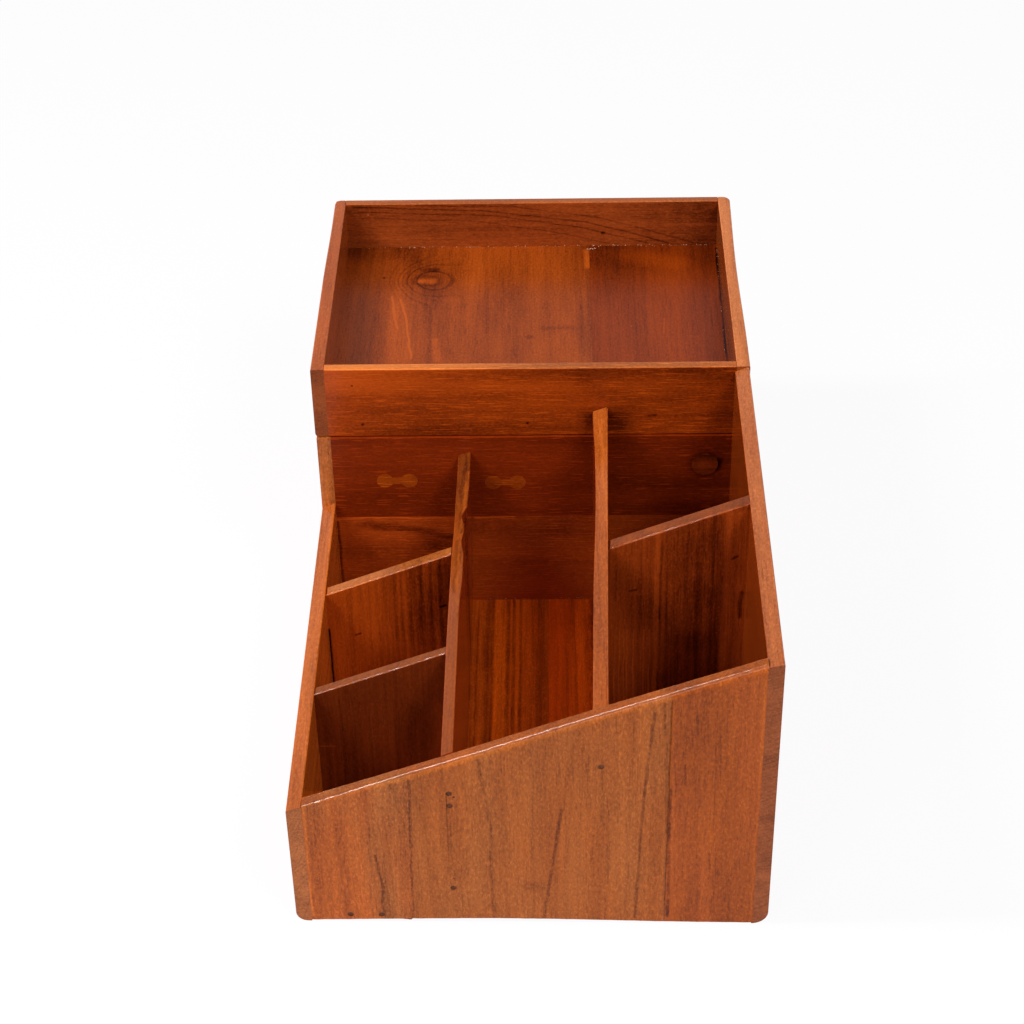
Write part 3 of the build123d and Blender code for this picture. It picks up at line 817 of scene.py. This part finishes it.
for seed, node in enumerate(("key_left", "key_right"), 53):
    finish_node(node, teak(
        node, "x", "#923a08", seed, pith=(0, 80, 0), ring_depth=0.1, fibre_depth=0.25, pore_depth=-0.3,
        mottle_depth=0.35,
    ))
plug_ring = [([(82.2, 92.8)], 7.2, 0.3), ([(82.2, 92.8)], 5.8, -0.42)]
finish_node("round_plug", teak("round_plug", "x", "#742908", 55, strokes=plug_ring, pith=(0, 80, 0)))

# The box behind the wall: two sides of teak with upright grain, and a back of two level boards, glued
# round the ends of the base.
for seed, (node, foot) in enumerate((("box_side_left", "low"), ("box_side_right", "high")), 61):
    tones = teak(node, "z", "#b3602b", seed, face="yz", pith=(80, -60, 0))
    hand_worked(node, "y", tones, reshape=feet[foot])
for seed, node in enumerate(("back_board_lower", "back_board_upper"), 63):
    finish_node(node, teak(node, "x", "#9c4816", seed, pith=(60, 260, 0)))

# The lid, a shallow tray: four teak rails glued round a floor of two boards, with the side rails over
# the ends of the front and back ones.
hollow = {"left": 0.7 * MM, "right": 0.9 * MM}


def planed_hollow(verts, flats):
    """The side rails' outer faces are planed a little too far towards the back."""
    side = copysign(1, max(vertex.co.x for vertex in verts))
    outward = max(flats, key=lambda flat: flat.x * side)
    inside = beyond(verts, outward)
    for vertex in [vertex for vertex in verts if inside(vertex) < by_arris]:
        y = vertex.co.y / MM
        right = side > 0
        depth = hollow["right"] * hump(y, 115, 80) if right else hollow["left"] * ease((y - 100) / 60)
        vertex.co.x -= depth * side
    return {}


for seed, (node, tone, end, top) in enumerate((
    ("lid_rail_left", "#a0491b", "#803a13", "#99471a"), ("lid_rail_right", "#8e4218", None, "#b06130")
), 71):
    hand_worked(node, "y", teak(
        node, "y", tone, seed, face="yz", pith=(-60, -260, 0), ring_gap=4.0, ring_depth=0.08,
        fibre_depth=0.2, mottle_depth=0.35, end=end, top=top,
    ), reshape=planed_hollow)
hand_worked("lid_rail_front", "x", teak(
    "lid_rail_front", "x", "#923607", 73, pith=(-60, 120, 0), ring_gap=12.0, ring_depth=0.08,
    strokes=[
        ([(-83, 138.9)], 0.9, 0.5),
        ([(-79.3, 116.8)], 1.1, 0.6),
        ([(-1.5, 116.9)], 1.0, 0.6),
        ([(55, 121), (58, 121)], 0.9, 0.5),
        # The wide darkening towards the high side is partly the rail's darker wood, partly painted shade.
        ([(90, 140), (90, 110)], 110.0, 0.12),
        # The two dark patches round the right divider's top are its painted shadow.
        ([(24, 140), (46, 128)], 9.0, 0.12),
        ([(29, 120), (41, 118)], 9.0, 0.3),
    ],
    fibre_depth=0.25, mottle_depth=0.5, band_depth=0.5, drift_depth=1.2, pore_depth=-0.25, top="#a6551e",
))
hand_worked("lid_rail_back", "x", teak(
    "lid_rail_back", "x", "#8f3d14", 74, pith=(-60, 260, 0), ring_gap=5.0, ring_depth=0.12, waver=1.5,
    strokes=[
        ([(-92, 146.5), (-26, 143.6), (29, 136.4), (70.7, 123.2)], 0.8, 0.28),
        ([(-92, 143.5), (-20, 140.6), (25, 133.4), (60, 123.2)], 0.7, 0.22),
        ([(-60, 147), (-10, 146), (35, 139), (84, 123.2)], 0.7, 0.22),
        ([(-92, 140), (-30, 137.6), (15, 130), (40, 123.2)], 0.6, 0.16),
        ([(-96, 150), (-96, 120)], 26.0, 0.2),
        ([(98, 150), (98, 120)], 62.0, 0.32),
        ([(36.8, 129.6)], 1.6, 0.4),
        ([(-84.5, 141.7)], 0.7, -0.9),
    ],
    fibre_depth=0.3, mottle_depth=0.5, drift_depth=0.5, top="#984b19",
))
finish_node("lid_floor_left", teak(
    "lid_floor_left", "y", "#873709", 75, face="xy", pith=(-160, -122, 0), ring_gap=7.0, ring_depth=0.10,
    knot=((-54, 143), 26.0, 5.5), strokes=[
        ([(-56.5, 142.4), (-51.5, 142.4)], 7.0, 0.5),
        ([(-56.5, 142.4), (-51.5, 142.4)], 4.5, -1.0),
        ([(-57, 146), (-56, 140)], 27.0, 0.2),
        ([(-98, 176), (-98, 60)], 24.0, 0.08),
        ([(-98, 176), (-62, 172)], 18.0, 0.25),
        ([(-76, 165), (-76, 60)], 9.0, 0.12),
        ([(-56, 153), (-49, 153)], 3.5, 0.3),
        ([(-70.6, 127.5), (-68, 112), (-66.1, 97.9)], 0.8, -0.45),
        ([(-66.4, 125.6), (-61.4, 105), (-58.4, 72)], 0.8, -0.45),
        ([(-75.6, 145.7)], 1.2, 0.5),
        ([(-34, 173), (-39, 60)], 17.0, -0.13),
        ([(-8, 130), (-7, 60)], 12.0, 0.1),
        ([(21, 130), (21, 60)], 10.0, -0.08),
        ([(28.4, 171), (28.4, 155)], 3.0, -0.5),
        ([(-46.8, 88), (-46.1, 69)], 2.5, -0.3),
        ([(-1, 89.7)], 3.0, 0.25),
        ([(5, 97.7), (20, 97.5)], 3.0, 0.15),
    ],
    fibre_depth=0.3, mottle_depth=0.6, band_depth=0.3, drift_depth=0.9, gloss_spread=0.28, varnish=0.7,
))
finish_node("lid_floor_right", teak(
    "lid_floor_right", "y", "#752902", 76, face="xy", pith=(-160, -122, 0), ring_gap=5.0, ring_depth=0.08,
    waver=1.2, strokes=[
        ([(49.7, 165), (73.9, 158)], 11.0, -0.2),
        ([(35, 168), (95, 168)], 30.0, 0.2),
        ([(95.2, 172), (94.8, 60)], 0.9, 0.6),
        ([(49.3, 98.8)], 0.8, -0.6),
        ([(65.9, 105.8), (65.3, 91.4)], 0.5, -0.4),
    ],
    fibre_depth=0.3, mottle_depth=0.6, band_depth=0.3, drift_depth=0.7, gloss_spread=0.28, varnish=0.7,
))

# Fittings. Two cast brass butt hinges at the back, each two leaves and a pin, with countersunk brass
# screws. Unlacquered brass goes brown and dull in soft patches; the turned screws are darker.
hinge_parts = ("box_leaf", "lid_leaf", "pin")
hinge_nodes = [f"hinge_{side}_{part}" for side in ("left", "right") for part in hinge_parts]
for name, clean, tarnished, nodes in (
    ("tarnished_cast_brass", "#b08c4c", "#80602f", hinge_nodes),
    ("tarnished_turned_brass", "#8f6e3a", "#5c4422", ("box_hinge_screws", "lid_hinge_screws")),
):
    brass, tree = new_material(name)
    coords = add(tree, "ShaderNodeTexCoord").outputs["Object"]
    patches = add(tree, "ShaderNodeTexNoise", {"Vector": coords, "Scale": 0.11 / MM, "Detail": 6.0})
    grit = add(tree, "ShaderNodeTexNoise", {"Vector": coords, "Scale": 3.0 / MM, "Detail": 2.0})
    tarnish = add(tree, "ShaderNodeMapRange", {"Value": patches, "From Min": 0.36, "From Max": 0.70})
    inputs = {0: tarnish, 6: linear(clean), 7: linear(tarnished)}
    colour = add(tree, "ShaderNodeMix", inputs, data_type="RGBA")
    dullness = add(tree, "ShaderNodeMath", {0: tarnish, 1: 0.25, 2: 0.3}, operation="MULTIPLY_ADD")
    cast_skin = add(tree, "ShaderNodeBump", {"Strength": 0.5, "Distance": 0.05 * MM, "Height": grit})
    inputs = {"Base Color": colour, "Metallic": 1.0, "Roughness": dullness, "Normal": cast_skin}
    add(tree, "ShaderNodeOutputMaterial", {"Surface": add(tree, "ShaderNodeBsdfPrincipled", inputs)})
    for node in nodes:
        finish_node(node, brass)

# Steel panel pins, driven through the front boards into the dividers and the base. Their heads have
# gone brown under the varnish, with darker pits of rust.
rust, tree = new_material("browned_steel")
coords = add(tree, "ShaderNodeTexCoord").outputs["Object"]
pits = add(tree, "ShaderNodeTexNoise", {"Vector": coords, "Scale": 1.5 / MM, "Detail": 3.0})
share = add(tree, "ShaderNodeMapRange", {"Value": pits, "From Min": 0.35, "From Max": 0.65})
inputs = {0: share, 6: linear("#6e3a20"), 7: linear("#40200f")}
colour = add(tree, "ShaderNodeMix", inputs, data_type="RGBA")
pitted = add(tree, "ShaderNodeBump", {"Strength": 0.6, "Distance": 0.08 * MM, "Height": pits})
inputs = {"Base Color": colour, "Roughness": 0.6, "Specular IOR Level": 0.2, "Normal": pitted}
add(tree, "ShaderNodeOutputMaterial", {"Surface": add(tree, "ShaderNodeBsdfPrincipled", inputs)})
finish_node("front_pins", rust)

# Glue and varnish that were squeezed out of the seams and dried there in crumbs: along the tray's
# rear and right seams, and where the wall meets the base. Pale amber grains, under half a millimetre.
crumbs = bpy.data.node_groups.new("dried_crumbs", "GeometryNodeTree")
for name, kind, usual in (
    ("Geometry", "NodeSocketGeometry", None),
    ("Start", "NodeSocketVector", (0, 0, 0)),
    ("End", "NodeSocketVector", (0, 0, 0)),
    ("Count", "NodeSocketInt", 20),
    ("Spread", "NodeSocketFloat", 0.5 * MM),
    ("Size", "NodeSocketFloat", 0.3 * MM),
    ("Seed", "NodeSocketInt", 1),
    ("Material", "NodeSocketMaterial", None),
):
    socket = crumbs.interface.new_socket(name, in_out="INPUT", socket_type=kind)
    if usual is not None:
        socket.default_value = usual
crumbs.interface.new_socket("Geometry", in_out="OUTPUT", socket_type="NodeSocketGeometry")
given = add(crumbs, "NodeGroupInput").outputs
inputs = {0: (0, 0, 0), 1: (1, 1, 1), "Seed": given["Seed"]}
chance = add(crumbs, "FunctionNodeRandomValue", inputs, data_type="FLOAT_VECTOR").outputs[0]
share = add(crumbs, "ShaderNodeSeparateXYZ", {0: chance}).outputs["X"]
run = add(crumbs, "ShaderNodeVectorMath", {0: given["End"], 1: given["Start"]}, operation="SUBTRACT")
spot = add(crumbs, "ShaderNodeVectorMath", {0: run, 1: share, 2: given["Start"]}, operation="MULTIPLY_ADD")
aside = add(crumbs, "ShaderNodeVectorMath", {0: chance, 1: (0.5, 0.5, 0.5)}, operation="SUBTRACT")
spot = add(crumbs, "ShaderNodeVectorMath", {0: aside, 1: given["Spread"], 2: spot}, operation="MULTIPLY_ADD")
points = add(crumbs, "GeometryNodePoints", {"Count": given["Count"], "Position": spot})
grain = add(crumbs, "GeometryNodeMeshIcoSphere", {"Radius": given["Size"], "Subdivisions": 1})
grain = add(crumbs, "GeometryNodeSetShadeSmooth", {0: grain})
other_seed = add(crumbs, "ShaderNodeMath", {0: given["Seed"], 1: 100.0})
inputs = {0: (0.3, 0.3, 0.2), 1: (1.4, 1.2, 0.7), "Seed": other_seed}
sizes = add(crumbs, "FunctionNodeRandomValue", inputs, data_type="FLOAT_VECTOR").outputs[0]
strewn = add(crumbs, "GeometryNodeInstanceOnPoints", {"Points": points, "Instance": grain, "Scale": sizes})
strewn = add(crumbs, "GeometryNodeRealizeInstances", {0: strewn})
inputs = {"Geometry": strewn, "Material": given["Material"]}
strewn = add(crumbs, "GeometryNodeSetMaterial", inputs)
joined = crumbs.nodes.new("GeometryNodeJoinGeometry")
for part in (given["Geometry"], strewn.outputs[0]):
    crumbs.links.new(part, joined.inputs[0])
add(crumbs, "NodeGroupOutput", {0: joined})

amber, tree = new_material("dried_varnish")
coords = add(tree, "ShaderNodeTexCoord").outputs["Object"]
cloud = add(tree, "ShaderNodeTexNoise", {"Vector": coords, "Scale": 1.2 / MM, "Detail": 2.0})
cloud = add(tree, "ShaderNodeMapRange", {"Value": cloud, "From Min": 0.35, "From Max": 0.65})
inputs = {0: cloud, 6: linear("#8a4a2c"), 7: linear("#d9ab8a")}
colour = add(tree, "ShaderNodeMix", inputs, data_type="RGBA")
inputs = {"Base Color": colour, "Roughness": 0.35, "IOR": 1.5}
add(tree, "ShaderNodeOutputMaterial", {"Surface": add(tree, "ShaderNodeBsdfPrincipled", inputs)})

for name, carrier, seams in (
    ("crumbs_in_tray", "lid_floor_left", (
        ((-92, 175.0, 122.1), (95, 175.0, 122.1), 150, 1.0, 0.30),
        ((94.4, 70, 122.1), (95.2, 172, 122.1), 30, 0.6, 0.22),
        ((28.5, 171.5, 122.1), (33.5, 172.0, 122.1), 16, 1.6, 0.5),
    )),
    ("crumbs_under_wall", "wall_board_lower", (
        ((-26.6, 22.6, 10.9), (28.2, 22.6, 10.9), 40, 0.5, 0.25),
    )),
):
    spots = bpy.data.objects.new(name, bpy.data.meshes.new(name))
    bpy.context.scene.collection.objects.link(spots)
    for seed, (start, end, count, spread, size) in enumerate(seams, 1):
        sprinkle = spots.modifiers.new("dried_crumbs", "NODES")
        sprinkle.node_group = crumbs
        wanted = {
            "Start": [value * MM for value in start], "End": [value * MM for value in end], "Count": count,
            "Spread": spread * MM, "Size": size * MM, "Seed": seed, "Material": amber,
        }
        for socket in crumbs.interface.items_tree:
            if socket.in_out == "INPUT" and socket.name in wanted:
                sprinkle[socket.identifier] = wanted[socket.name]
    graph = bpy.context.evaluated_depsgraph_get()
    spots_mesh = bpy.data.meshes.new_from_object(spots.evaluated_get(graph))
    spots.modifiers.clear()
    spots.data = spots_mesh
    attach(spots, frame["nodes"][carrier]["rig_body"])
